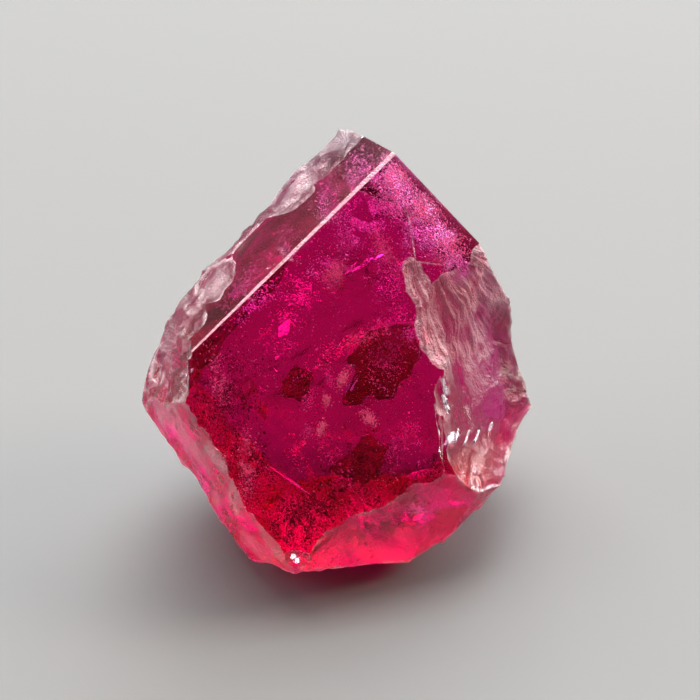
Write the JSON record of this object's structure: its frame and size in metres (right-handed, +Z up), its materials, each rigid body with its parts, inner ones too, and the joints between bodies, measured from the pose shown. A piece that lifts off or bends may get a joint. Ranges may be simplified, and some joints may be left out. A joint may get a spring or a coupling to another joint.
{
  "type": "red beryl crystal",
  "caption": "Broken piece of a red beryl crystal: flat prism faces with a bevelled edge, a flat end and shell-shaped breaks, lying on a flattened break.",
  "frame": {"origin": "on the surface that the crystal lies on, under the middle of its bounding box", "axes": "+Z up, -Y towards the side that the large prism face looks to, +X to the right of it"},
  "size_m": [0.0082, 0.0078, 0.008],
  "materials": {
    "beryl": "clear raspberry red beryl, glossy on the grown faces and frosted on the breaks"
  },
  "bodies": {
    "root": {"crystal": "beryl"}
  },
  "joints": []
}
